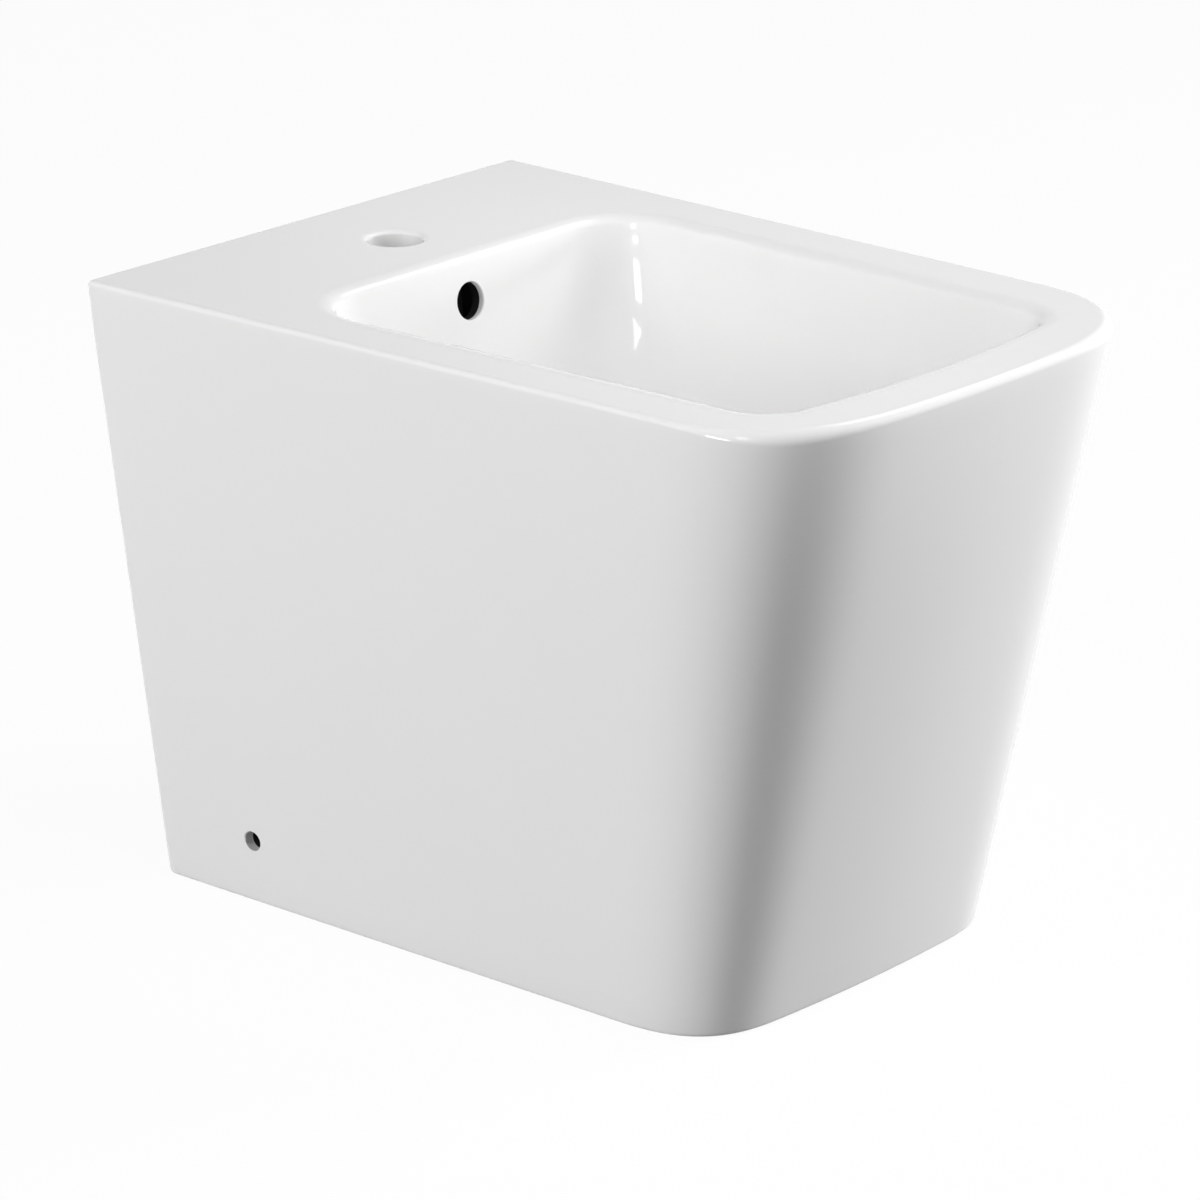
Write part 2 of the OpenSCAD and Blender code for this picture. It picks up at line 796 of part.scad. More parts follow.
// Right-hand angle bracket: floor leg, upright leg and two gussets
module floor_bracket() {
    y0 = side_y - bracket_w / 2;
    foot_x = bracket_x - bracket_foot + gusset_t;
    color("gainsboro")
    difference() {
        union() {
            translate([bracket_x - bracket_t, y0, 0])
                cube([bracket_t, bracket_w, bracket_h]);
            translate([bracket_x - bracket_foot, y0, 0])
                cube([bracket_foot, bracket_w, bracket_t]);
            for (y = [y0, y0 + bracket_w - gusset_t])
                translate([0, y + gusset_t, 0])
                    rotate([90, 0, 0])
                        linear_extrude(gusset_t)
                            polygon([
                                [bracket_x - over, over], [foot_x, over],
                                [foot_x, bracket_t + gusset_low],
                                [bracket_x - bracket_t - over, bracket_h - gusset_drop],
                                [bracket_x - over, bracket_h - gusset_drop]
                            ]);
        }
        side_bar(clamp_d + 2 * drill_slack, bracket_x - bracket_t - over, bracket_x + over);
        translate([bracket_x - floor_hole_in, side_y, -over])
            cylinder(d = floor_hole_d, h = bracket_t + 2 * over);
    }
}

washer_t = 1.2;
nut_t = 5;
screw_end = 2;
// Socket head in shares of the screw's diameter, as standard screws have it
head_d = 1.65 * clamp_d;
head_h = clamp_d;
key_d = 0.9 * clamp_d;
key_depth = 0.5 * clamp_d;

// Right-hand clamp screw with a socket head, deep in the side hole
module clamp_screw() {
    end_x = bracket_x - bracket_t - nut_t - screw_end;
    head_x = step_x + washer_t;
    color("slategray")
    difference() {
        union() {
            side_bar(clamp_d, end_x, head_x + over);
            side_bar(head_d, head_x, head_x + head_h);
        }
        translate([head_x + head_h - key_depth, side_y, side_hole_z])
            rotate([0, 90, 0])
                cylinder(d = key_d, h = key_depth + over, $fn = 6);
    }
}

// Right-hand washer on the step of the side hole
module clamp_washer() {
    color("slategray")
    difference() {
        side_bar(side_hole_d - 1, step_x, step_x + washer_t);
        side_bar(clamp_d + 2 * seat, step_x - over, step_x + washer_t + over);
    }
}

// Right-hand nut behind the bracket's upright leg
module clamp_nut() {
    nut_x = bracket_x - bracket_t - nut_t;
    color("slategray")
    difference() {
        translate([nut_x, side_y, side_hole_z])
            rotate([0, 90, 0])
                cylinder(d = clamp_d * 1.9, h = nut_t, $fn = 6);
        side_bar(clamp_d + 2 * seat, nut_x - over, nut_x + nut_t + over);
    }
}

module on_left() {
    mirror([1, 0, 0])
        children();
}

china_body();
waste_body();
flange_gasket();
tapered_washer();
slip_washer();
back_nut();
click_cartridge();
cartridge_cap();
cartridge_spring();
plug_cap();
plug_seal();
plug_stem();
stem_collar();
on_left() floor_bracket();  // floor_bracket_left
floor_bracket();  // floor_bracket_right
on_left() clamp_screw();  // clamp_screw_left
clamp_screw();  // clamp_screw_right
on_left() clamp_washer();  // clamp_washer_left
clamp_washer();  // clamp_washer_right
on_left() clamp_nut();  // clamp_nut_left
clamp_nut();  // clamp_nut_right
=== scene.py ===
"""Square back-to-wall bidet in white glazed china, in a plain pale studio."""

import json
import math

import bmesh
import bpy
import numpy as np
from mathutils import Euler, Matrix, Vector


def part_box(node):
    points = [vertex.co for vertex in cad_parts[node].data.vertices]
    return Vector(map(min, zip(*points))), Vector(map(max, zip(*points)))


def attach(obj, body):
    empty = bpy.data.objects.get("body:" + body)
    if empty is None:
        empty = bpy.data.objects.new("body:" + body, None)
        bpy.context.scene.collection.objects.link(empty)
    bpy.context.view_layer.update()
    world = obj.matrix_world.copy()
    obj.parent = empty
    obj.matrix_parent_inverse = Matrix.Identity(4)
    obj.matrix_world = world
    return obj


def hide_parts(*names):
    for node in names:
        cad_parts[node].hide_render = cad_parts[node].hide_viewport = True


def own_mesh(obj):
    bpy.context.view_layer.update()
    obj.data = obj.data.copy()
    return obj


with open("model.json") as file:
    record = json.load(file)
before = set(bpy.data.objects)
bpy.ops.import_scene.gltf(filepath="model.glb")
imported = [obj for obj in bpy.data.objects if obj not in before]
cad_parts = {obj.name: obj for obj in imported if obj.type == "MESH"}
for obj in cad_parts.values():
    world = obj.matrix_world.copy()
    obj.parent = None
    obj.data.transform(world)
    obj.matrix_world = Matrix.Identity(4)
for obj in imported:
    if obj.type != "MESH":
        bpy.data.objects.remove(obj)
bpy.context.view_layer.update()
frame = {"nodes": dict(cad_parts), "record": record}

MM = 0.001
TAU = 2 * math.pi

# Outside of the casting, in millimetres: size, leans, plan sizes at rim and foot, edges and walls
china_low, china_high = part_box("china_body")
BODY_H = china_high.z / MM
BODY_L = (china_high.y - china_low.y) / MM
BODY_W = 392.0
FRONT_LEAN = 84.0
SIDE_LEAN = 41.5
BACK_LEAN, WALL_LAND = 12.0, 30.0
RIM_TAPER, FOOT_TAPER = 14.0, 6.5
RIM_BOW, FOOT_BOW = 14.0, 8.0
RIM_CORNER = 126.0, 100.0
FOOT_CORNER = 72.0, 76.0
CORNER_POWER = 3.0
WALL_CORNER, FOOT_WALL_CORNER = 4.0, 11.0
EDGE_R = 3.0
EDGE_LEAN_STEP = 20.0
FILLET_SIDE, FILLET_FRONT, FILLET_CORNER = 3.0, 4.5, 3.75
FOOT_R = 3.0
WALL_T = 12.0
DECK_T = 16.0
FOOT_W, FOOT_CHAMFER = 18.0, 2.0
FOOT_RING_H, FOOT_BLEND_H = 18.0, 36.0
HOLLOW_R = 7.0

# Bowl: places and plan sizes at the rim, corners at its floor, lip, depth and slopes of the walls
DECK_L = 137.5
FRONT_RIM = 44.0
SIDE_RIM = 48.0
BOWL_TAPER = 11.0
BOWL_BOW = 12.5
BOWL_FRONT_CORNER, BOWL_REAR_CORNER = 30.0, 44.0
FLOOR_CORNER = 72.0
LIP_REACH, LIP_DROP = 10.0, 5.0
BOWL_DEPTH = 150.0
FLOOR_R = 40.0
FLOOR_FALL = 12.0
SIDE_SLOPE, REAR_SLOPE, FRONT_SLOPE = 0.12, 0.15, 0.30

# Holes: distance from the wall or the rim, diameter, roll of the mouth, and what lies behind them
TAP_BACK, TAP_D, TAP_ROLL, TAP_DROP = 77.5, 35.0, 5.0, 2.5
OVERFLOW_DROP, OVERFLOW_D, OVERFLOW_ROLL = 29.0, 24.0, 1.0
# Glazed depth of the overflow hole's mouth; deeper, its faces are near-black painted shade.
OVERFLOW_GLAZED = 4.0
OUTLET_BACK, OUTLET_D, OUTLET_ROLL = 265.0, 46.0, 1.5
DISH_R, DISH_DEPTH, DISH_RIM = 33.0, 4.0, 5.0
BOSS_R, BOSS_H, BOSS_ROOT, BOSS_CHAMFER = 39.0, 44.0, 4.0, 2.0
CHANNEL_W, CHANNEL_T, CHANNEL_FRONT = 30.0, 12.0, 10.0
RIB_SIDE, RIB_ROUND, RIB_ROUND_MID = 9.0, 14.0, 4.0
# The side hole's mouth is glazed to SIDE_HOLE_GLAZED; deeper, the hole is near-black painted shade.
SIDE_HOLE_D, SIDE_HOLE_ROLL, SIDE_HOLE_GLAZED = 13.0, 0.5, 7.0
SIDE_HOLE_BACK, SIDE_HOLE_Z, SIDE_HOLE_DEPTH = 96.0, 43.0, 20.0
CLAMP_HOLE_D, CLAMP_LAND, SIDE_BOSS_D = 7.0, 8.0, 42.0
BACK_OPEN_W, BACK_OPEN_H, BACK_OPEN_R, BACK_FLARE = 230.0, 300.0, 40.0, 4.0
ROLL_SWEEP = math.radians(86)
CHINA_SHARP, WASTE_SHARP = math.radians(38), math.radians(30)

# Waste: wire, open turns and close pitch of the spring, travel of the plug, tube, tail and thread
SPRING_WIRE, SPRING_TURNS, SPRING_CLOSE, PLUG_TRAVEL = 1.4, 5, 1.9, 9.0
WASTE_TUBE_R, WASTE_TAIL_L = 21.0, 22.5
THREAD_L, THREAD_PITCH, THREAD_DEPTH, THREAD_HALF, THREAD_OVER = 36.0, 2.309, 1.2, 1.1, 0.2

# Places that follow
WALL_Y = BODY_L / 2
FRONT_Y = -BODY_L / 2
TOP_Z = BODY_H - EDGE_R
BOWL_REAR_Y = WALL_Y - DECK_L
BOWL_FRONT_Y = FRONT_Y + FRONT_RIM
BOWL_HALF = BODY_W / 2 - SIDE_RIM
ARC_DEPTH = BOWL_DEPTH - FLOOR_R
TAP_Y = WALL_Y - TAP_BACK
OUTLET_Y = WALL_Y - OUTLET_BACK
OUTLET_Z = BODY_H - BOWL_DEPTH - FLOOR_FALL
SEAT_Z = OUTLET_Z - DISH_DEPTH
BOSS_Z = SEAT_Z - BOSS_H
SIDE_Y = WALL_Y - SIDE_HOLE_BACK

# Points of half an outline: front, front corner, side, rear corner, wall
STEPS = (14, 40, 34, 8, 22)
# Rows of points on the skin that shows: bowl floor, its arc, bowl wall, lip, outer edge, outside, foot
FLOOR_ROWS, ARC_ROWS, BOWL_ROWS, LIP_ROWS, EDGE_ROWS, SIDE_ROWS, FOOT_ROWS = 16, 22, 14, 19, 12, 26, 5
DECK_SHARES = (0.04, 0.14, 0.3, 0.5, 0.7, 0.86, 0.96)
# Points round a small turned solid, and on one turn of the spring and of the thread
BAR_POINTS, SPRING_POINTS, THREAD_POINTS, WIRE_POINTS = 72, 36, 72, 12
# How far cutters reach past what they cut, and joined solids into each other
PAST, PAST_FLOOR, INTO = 5.0, 30.0, 4.0


def mix(a, b, t):
    """Value a share t of the way from a to b."""
    return a + (b - a) * t


def half_outline(half_rear, half_front, yf, yr, bow, rf, rr):
    """Right half of a level in plan, from the middle of the front to the middle of the wall line.
    The front is an arc of sagitta bow, the sides are straight, and the corners are arcs."""
    lean = (half_rear - half_front) / (yr - yf)
    k = math.hypot(1, lean)
    out = np.array([1 / k, -lean / k])
    along = np.array([lean / k, 1 / k])
    big = (half_front**2 + bow**2) / (2 * bow)
    mid = np.array([0, yf + big])
    start = np.array([half_front, yf])
    w = start - rf * out - mid
    b = w @ along
    run = -b - math.sqrt(max(0.0, b * b - w @ w + (big - rf) ** 2))
    front_c = start - rf * out + run * along
    a_front = math.atan2(front_c[1] - mid[1], front_c[0] - mid[0])
    a_side = math.atan2(out[1], out[0])
    base = start - rr * out
    rear_c = np.array([base[0] + (yr - rr - base[1]) * lean, yr - rr])

    def arc(c, r, a0, a1, n):
        a = np.linspace(a0, a1, n, endpoint=False)
        return c + r * np.stack([np.cos(a), np.sin(a)], -1)

    t = np.linspace(0, 1, STEPS[2], endpoint=False)[:, None]
    back = np.linspace(rear_c[0], 0, STEPS[4] + 1)
    return np.concatenate([
        arc(mid, big, -math.pi / 2, a_front, STEPS[0]),
        arc(front_c, rf, a_front, a_side, STEPS[1]),
        mix(front_c + rf * out, rear_c + rr * out, t),
        arc(rear_c, rr, a_side, math.pi / 2, STEPS[3]),
        np.stack([back, np.full_like(back, yr)], -1),
    ])


def soft_half_outline(half_rear, half_front, yf, yr, bow, front_reach, side_reach, rr):
    """Right half of a level of the outer skin, drawn like half_outline, with soft front corners.
    Each is a quarter superellipse between the front's tangent and the side: at the polar angle s its
    radius is (cos(s)^n + sin(s)^n)^(-1/n), in shares of its reach along the front and along the side."""
    lean = (half_rear - half_front) / (yr - yf)
    k = math.hypot(1, lean)
    big = (half_front**2 + bow**2) / (2 * bow)
    mid = np.array([0, yf + big])
    a_end = math.asin((half_front - front_reach) / big)
    tangent = np.array([math.cos(a_end), math.sin(a_end)])
    p_front = mid + big * np.array([math.sin(a_end), -math.cos(a_end)])
    gap = half_front + lean * (p_front[1] - yf) - p_front[0]
    tip = p_front + tangent * gap / (tangent[0] - lean * tangent[1])
    p_side = tip + side_reach * np.array([lean, 1]) / k
    out = np.array([1, -lean]) / k
    base = np.array([half_front, yf]) - rr * out
    rear_c = np.array([base[0] + (yr - rr - base[1]) * lean, yr - rr])

    a = np.linspace(0, a_end, STEPS[0], endpoint=False)[:, None]
    front = mid + big * np.hstack([np.sin(a), -np.cos(a)])
    s = np.linspace(math.pi / 2, 0, STEPS[1], endpoint=False)[:, None]
    r = (np.cos(s) ** CORNER_POWER + np.sin(s) ** CORNER_POWER) ** (-1 / CORNER_POWER)
    corner = p_front + p_side - tip + r * (np.cos(s) * (tip - p_front) + np.sin(s) * (tip - p_side))
    t = np.linspace(0, 1, STEPS[2], endpoint=False)[:, None]
    side = mix(p_side, rear_c + rr * out, t)
    a = np.linspace(math.atan2(out[1], out[0]), math.pi / 2, STEPS[3], endpoint=False)[:, None]
    rear = rear_c + rr * np.hstack([np.cos(a), np.sin(a)])
    back = np.linspace(rear_c[0], 0, STEPS[4] + 1)
    return np.concatenate([front, corner, side, rear, np.stack([back, np.full_like(back, yr)], -1)])


def whole(half):
    """A half outline joined to its mirror image, anticlockwise seen from above."""
    return np.concatenate([half, half[-2:0:-1] * [-1, 1]])


def back_y(z):
    """Back of the casting at height z: upright at the land along the deck, drawn in evenly below it."""
    return WALL_Y - BACK_LEAN * (1 - np.minimum(1, z / (BODY_H - WALL_LAND)))


def skin(z, d):
    """Level of the outer skin at height z, drawn in by d: every size runs evenly from foot to rim."""
    t = min(1.0, z / TOP_Z)
    half = BODY_W / 2 - SIDE_LEAN * (1 - t)
    taper = mix(FOOT_TAPER, RIM_TAPER, t)
    return whole(soft_half_outline(
        half - d, half - taper - d,
        FRONT_Y + FRONT_LEAN * (1 - t) + d, back_y(z) - d,
        mix(FOOT_BOW, RIM_BOW, t),
        mix(FOOT_CORNER[0], RIM_CORNER[0], t) - d, mix(FOOT_CORNER[1], RIM_CORNER[1], t) - d,
        max(1, mix(FOOT_WALL_CORNER, WALL_CORNER, t) - d)))


def wall_in(depth, slope, out):
    """How far a bowl wall has come in at a depth: straight at first, then an arc that ends level."""
    if depth <= ARC_DEPTH:
        return slope * depth
    a0 = math.atan(slope)
    r = (FLOOR_R + out) / (1 - math.sin(a0))
    a = math.asin(min(1.0, math.sin(a0) + (depth - ARC_DEPTH) / r))
    return slope * ARC_DEPTH + r * (math.cos(a0) - math.cos(a))


def bowl(depth, out):
    """Level of the bowl at a depth below the rim, grown outwards by out, with rounder corners lower down."""
    t = min(1.0, depth / BOWL_DEPTH)
    half = BOWL_HALF - wall_in(depth, SIDE_SLOPE, out) + out
    rf = mix(BOWL_FRONT_CORNER, FLOOR_CORNER - BOWL_TAPER, t) + out
    rr = mix(BOWL_REAR_CORNER, FLOOR_CORNER, t) + out
    return whole(half_outline(
        half, half - BOWL_TAPER,
        BOWL_FRONT_Y + wall_in(depth, FRONT_SLOPE, out) - out,
        BOWL_REAR_Y - wall_in(depth, REAR_SLOPE, out) + out,
        BOWL_BOW, min(rf, half - BOWL_TAPER - 2), min(rr, half - 2)))


def outlet_ring(outline, r):
    """Circle round the outlet whose points lie in the directions of the outline's points."""
    v = outline - [0, OUTLET_Y]
    return [0, OUTLET_Y] + r * v / np.linalg.norm(v, axis=1, keepdims=True)


def level(outline, z):
    """Plan points raised to height z."""
    return np.column_stack([outline, np.full(len(outline), z)])


def floor_level(t, out, ring_r):
    """Level a share t of the way from the foot of the bowl's wall to the outlet, falling as a half cosine."""
    edge = bowl(BOWL_DEPTH + out, out)
    fall = FLOOR_FALL * (1 - math.cos(math.pi * t)) / 2
    return level(mix(edge, outlet_ring(edge, ring_r), t), BODY_H - BOWL_DEPTH - out - fall)


def arc_depths(out, n):
    """Depths along the arc between the bowl's wall and floor, at even steps of its angle."""
    return ARC_DEPTH + (FLOOR_R + out) * np.sin(np.linspace(0, math.pi / 2, n + 1))


def steps(a, b, n, ends=True):
    """Plain list of n even steps from a to b, or to just before it."""
    return np.linspace(a, b, n, endpoint=ends)


def edge_levels(n):
    """Levels of the fillet between deck and outside, n + 1 of them from the deck outwards.
    Where the outside leans by the angle e and points in the direction (x, y), the fillet's radius is
    r = side x^2 + front y^2 + corner |2 x y|, the last part at the front only, its centre lies
    r (tan e + 1 / cos e) inside the sharp edge, and it ends at the angle -e."""
    low, high = skin(TOP_Z - EDGE_LEAN_STEP, 0), skin(TOP_Z, 0)
    along = np.roll(high, -1, 0) - np.roll(high, 1, 0)
    out = np.stack([along[:, 1], -along[:, 0]], -1) / np.linalg.norm(along, axis=1, keepdims=True)
    tan = ((high - low) * out).sum(1, keepdims=True) / EDGE_LEAN_STEP
    x, y = np.abs(out[:, :1]), np.maximum(0, -out[:, 1:])
    r = FILLET_SIDE * (1 - y**2) + FILLET_FRONT * y**2 + FILLET_CORNER * 2 * x * y
    centre = high + EDGE_R * tan * out - r * (tan + np.hypot(1, tan)) * out
    levels = []
    for share in steps(0, 1, n + 1):
        a = mix(math.pi / 2, -np.arctan(tan), share)
        levels.append(np.hstack([centre + r * np.cos(a) * out, BODY_H - r + r * np.sin(a)]))
    return levels


def glazed_levels():
    """Levels of the skin that shows: bowl floor, bowl wall, lip, deck, outer edge, outside, foot.
    The lip is a quarter ellipse, tight at the wall and soft at the deck."""
    q = math.pi / 2
    lip_end, edge = bowl(0, LIP_REACH), edge_levels(EDGE_ROWS)
    levels = [floor_level(t, 0, DISH_R + DISH_RIM) for t in steps(1, 0, FLOOR_ROWS, False)]
    levels += [level(bowl(d, 0), BODY_H - d) for d in arc_depths(0, ARC_ROWS)[::-1]]
    levels += [level(bowl(d, 0), BODY_H - d) for d in steps(ARC_DEPTH, LIP_DROP, BOWL_ROWS, False)[1:]]
    levels += [level(bowl(LIP_DROP * (1 - math.sin(a)), LIP_REACH * (1 - math.cos(a))),
                     BODY_H - LIP_DROP * (1 - math.sin(a))) for a in steps(0, q, LIP_ROWS)]
    levels += [level(mix(lip_end, edge[0][:, :2], t), BODY_H) for t in DECK_SHARES]
    levels += edge
    levels += [level(skin(z, 0), z) for z in steps(TOP_Z, FOOT_R, SIDE_ROWS)[1:]]
    levels += [level(skin(FOOT_R, FOOT_R * (1 - math.cos(a))), FOOT_R * (1 - math.sin(a)))
               for a in steps(0, q, FOOT_ROWS)[1:]]
    return levels


def raw_levels():
    """Levels of the hidden skin: foot ring, inside of the outer wall, under the deck, back of the bowl.
    The ring thins to the wall as a half cosine."""
    q = math.pi / 2
    levels = [level(skin(0, FOOT_W - FOOT_CHAMFER), 0), level(skin(0, FOOT_W), FOOT_CHAMFER)]
    levels += [level(skin(z, FOOT_W), z) for z in (10, FOOT_RING_H)]
    for z in (22, 26, 30, FOOT_BLEND_H):
        share = (z - FOOT_RING_H) / (FOOT_BLEND_H - FOOT_RING_H)
        levels.append(level(skin(z, mix(FOOT_W, WALL_T, (1 - math.cos(math.pi * share)) / 2)), z))
    levels += [level(skin(z, WALL_T), z)
               for z in steps(FOOT_BLEND_H, BODY_H - DECK_T - HOLLOW_R, 16, False)[1:]]
    levels += [level(skin(TOP_Z, WALL_T + HOLLOW_R * (1 - math.cos(a))),
                     BODY_H - DECK_T - HOLLOW_R * (1 - math.sin(a))) for a in steps(0, q, 5)]
    levels += [level(bowl(DECK_T, WALL_T + HOLLOW_R * (1 - math.cos(a))),
                     BODY_H - DECK_T - HOLLOW_R * (1 - math.sin(a))) for a in steps(q, 0, 5)]
    levels += [level(bowl(d, WALL_T), BODY_H - d)
               for d in steps(DECK_T + HOLLOW_R, ARC_DEPTH, 10, False)[1:]]
    levels += [level(bowl(d, WALL_T), BODY_H - d) for d in arc_depths(WALL_T, 12)]
    levels += [floor_level(t, WALL_T, BOSS_R + BOSS_ROOT) for t in steps(0, 1, 8)[1:]]
    ring = bowl(BOWL_DEPTH, 0)
    levels += [level(outlet_ring(ring, BOSS_R + r), OUTLET_Z - WALL_T - z)
               for r, z in ((1.5, 1.5), (0, 5))]
    levels += [level(outlet_ring(ring, BOSS_R), z) for z in (BOSS_Z + 15, BOSS_Z + BOSS_CHAMFER)]
    levels += [level(outlet_ring(ring, BOSS_R - BOSS_CHAMFER), BOSS_Z)]
    return levels


def new_object(name, verts, faces, slots=None):
    """Mesh object from point and face arrays in millimetres, with a material slot number for each face."""
    mesh = bpy.data.meshes.new(name)
    mesh.from_pydata((np.asarray(verts) * MM).tolist(), [], [list(f) for f in faces])
    if slots is not None:
        mesh.polygons.foreach_set("material_index", np.asarray(slots, dtype=np.int32))
    mesh.polygons.foreach_set("use_smooth", np.ones(len(mesh.polygons), dtype=bool))
    mesh.update()
    obj = bpy.data.objects.new(name, mesh)
    bpy.context.scene.collection.objects.link(obj)
    return obj


def grid_faces(m, n):
    """Quads between m rows of n points, closed round each row."""
    j, i = np.broadcast_arrays(np.arange(m - 1)[:, None], np.arange(n)[None])
    right = (i + 1) % n
    quads = np.stack([j * n + i, j * n + right, (j + 1) * n + right, (j + 1) * n + i], -1)
    return quads.reshape(-1, 4)


def loft(levels):
    """Closed surface through levels of equally many points, with a fan on the first and the last.
    Its faces point outwards when the levels run anticlockwise seen against their order."""
    n, m = len(levels[0]), len(levels)
    verts = np.concatenate([*levels, levels[0].mean(0)[None], levels[-1].mean(0)[None]])
    i = np.arange(n)
    first = np.stack([np.full(n, m * n), (i + 1) % n, i], -1)
    last = np.stack([np.full(n, m * n + 1), (m - 1) * n + i, (m - 1) * n + (i + 1) % n], -1)
    faces = [*grid_faces(m, n).tolist(), *first.tolist(), *last.tolist()]
    return verts, faces


def turned(profile, centre=(0, 0, 0), axis="z", count=96):
    """Profile of (radius, height) points turned about an axis; both of its ends close to a point."""
    a = np.arange(count) * TAU / count
    r, h = np.asarray(profile, dtype=float).T
    x = r[:, None] * np.cos(a)
    y = r[:, None] * np.sin(a)
    z = np.broadcast_to(h[:, None], x.shape)
    order = {"z": (x, y, z), "y": (y, z, x), "x": (z, x, y)}[axis]
    grid = np.stack(order, -1) + np.asarray(centre, dtype=float)
    return loft(list(grid))


def rolled_hole(r, roll, depth, rise=3.0, n=10, drop=None):
    """Profile of a cutter: a straight hole of radius r that opens at height 0 through a quarter round,
    or through a quarter ellipse of another drop."""
    a = np.linspace(0, ROLL_SWEEP, n)
    arc = np.stack([r + roll * (1 - np.cos(a)), (drop or roll) * (np.sin(a) - 1)], -1)
    return np.concatenate([[[r, -depth]], arc, [[arc[-1, 0], rise]]])


def prism_x(profile, w):
    """Profile of (y, z) points carried along X for the width w, centred on the middle plane."""
    p = np.asarray(profile, dtype=float)
    n = len(p)
    verts = np.concatenate([np.column_stack([np.full(n, x), p]) for x in (-w / 2, w / 2)])
    return verts, [*grid_faces(2, n).tolist(), list(range(n))[::-1], list(range(n, 2 * n))]


def baked(obj):
    """The object with its modifiers made into its mesh."""
    graph = bpy.context.evaluated_depsgraph_get()
    mesh = bpy.data.meshes.new_from_object(obj.evaluated_get(graph))
    old = obj.data
    obj.modifiers.clear()
    obj.data = mesh
    bpy.data.meshes.remove(old)
    return obj


def combine(obj, others, operation):
    """Joins other solids to obj, or cuts them out of it, one after another, and removes them."""
    for other in others:
        mod = obj.modifiers.new(other.name, "BOOLEAN")
        mod.operation = operation
        mod.solver = "MANIFOLD"
        mod.object = other
        mod.material_mode = "INDEX"
    baked(obj)
    for other in others:
        bpy.data.objects.remove(other)


def behind(k, z):
    """Y of the line k behind the bowl's sloping rear wall at height z."""
    return BOWL_REAR_Y - REAR_SLOPE * (BODY_H - z) + k * math.hypot(1, REAR_SLOPE)


def duct_rib():
    """The duct cast behind the bowl's rear wall and under its floor, as a prism of its side view."""
    low = OUTLET_Z - CHANNEL_FRONT - CHANNEL_T - RIB_SIDE
    back = CHANNEL_FRONT + CHANNEL_T + RIB_SIDE
    top = BODY_H - DECK_T + INTO
    mid = WALL_T / 2
    wall = [(BOWL_REAR_Y - wall_in(d, REAR_SLOPE, mid) + mid, BODY_H - d) for d in arc_depths(mid, 12)]
    profile = [(behind(mid, top), top), *wall, (OUTLET_Y + BOSS_R - INTO, OUTLET_Z - mid),
               (OUTLET_Y, OUTLET_Z - mid), (OUTLET_Y, low), (behind(back, low) - RIB_ROUND, low),
               (behind(back, low + RIB_ROUND_MID) - RIB_ROUND_MID, low + RIB_ROUND_MID),
               (behind(back, low + RIB_ROUND), low + RIB_ROUND),
               (behind(back, top), top)]
    return new_object("duct_rib", *prism_x(profile, CHANNEL_W + 2 * RIB_SIDE))


def duct_channel():
    """The way of the water from the overflow hole to the outlet, as a prism of its side view."""
    high = OUTLET_Z - CHANNEL_FRONT
    low = high - CHANNEL_T
    top = BODY_H - DECK_T - 1
    back = CHANNEL_FRONT + CHANNEL_T
    profile = [(behind(CHANNEL_FRONT, top), top), (behind(CHANNEL_FRONT, high), high),
               (OUTLET_Y, high), (OUTLET_Y, low), (behind(back, low), low), (behind(back, top), top)]
    return new_object("duct_channel", *prism_x(profile, CHANNEL_W))


def back_opening():
    """Cutter for the open back: a round-topped doorway that flares at both faces of the rear wall
    and leans with it."""
    half, r = BACK_OPEN_W / 2, BACK_OPEN_R
    a = np.linspace(0, math.pi / 2, 13)

    def doorway(e):
        top = BACK_OPEN_H + e
        right = np.stack([half + e - r + r * np.cos(a), top - r + r * np.sin(a)], -1)
        left = right[::-1] * [-1, 1]
        return np.concatenate([[[-half - e, -PAST_FLOOR], [half + e, -PAST_FLOOR]], right, left])

    b = np.linspace(0, ROLL_SWEEP, 6)
    inward, widening = BACK_FLARE * (1 - np.sin(b)), BACK_FLARE * (1 - np.cos(b))
    inner = WALL_Y - WALL_T
    run = [(inner - 12, widening[-1]), *zip(inner + inward[::-1], widening[::-1]),
           *zip(WALL_Y - inward, widening), (WALL_Y + PAST, widening[-1])]
    levels = []
    for y, e in run:
        p = doorway(e)
        levels.append(np.column_stack([p[:, 0], y - WALL_Y + back_y(p[:, 1]), p[:, 1]]))
    return new_object("back_opening", *loft(levels[::-1]))


def side_x(y, z):
    """X of the right-hand outer face at a place."""
    t = z / TOP_Z
    taper = mix(FOOT_TAPER, RIM_TAPER, t)
    rear, front = back_y(z), FRONT_Y + FRONT_LEAN * (1 - t)
    return BODY_W / 2 - SIDE_LEAN * (1 - t) - taper * (rear - y) / (rear - front)


def side_bar(name, profile, side, painted_shade_rows=0):
    """A turned solid along X at a side hole; its profile's heights are X on the right-hand side.
    Its first rows of faces can take the near-black painted shade of the duct."""
    verts, faces = turned(profile, (0, SIDE_Y, SIDE_HOLE_Z), "x", BAR_POINTS)
    if side < 0:
        verts = verts * [-1, 1, 1]
        faces = [f[::-1] for f in faces]
    slots = np.zeros(len(faces), dtype=int)
    # Painted shade: these first rows of faces are near-black.
    slots[:painted_shade_rows * BAR_POINTS] = 2
    return new_object(name, verts, faces, slots)


def side_hole(side):
    """Cutter for a side fixing hole: rolled mouth, wide part, step and clamp hole; past the glazed mouth its
    faces take the near-black painted shade.
    """
    x = side_x(SIDE_Y, SIDE_HOLE_Z)
    step = x - SIDE_HOLE_DEPTH
    r = SIDE_HOLE_D / 2
    mouth = rolled_hole(r, SIDE_HOLE_ROLL, SIDE_HOLE_DEPTH, 6.0)
    profile = np.concatenate([
        [[CLAMP_HOLE_D / 2, step - CLAMP_LAND - 3], [CLAMP_HOLE_D / 2, step]],
        mouth[:1] + [0, x], [[r, x - SIDE_HOLE_GLAZED]], mouth[1:] + [0, x]])
    return side_bar(f"side_hole_{side}", profile, side, 3)


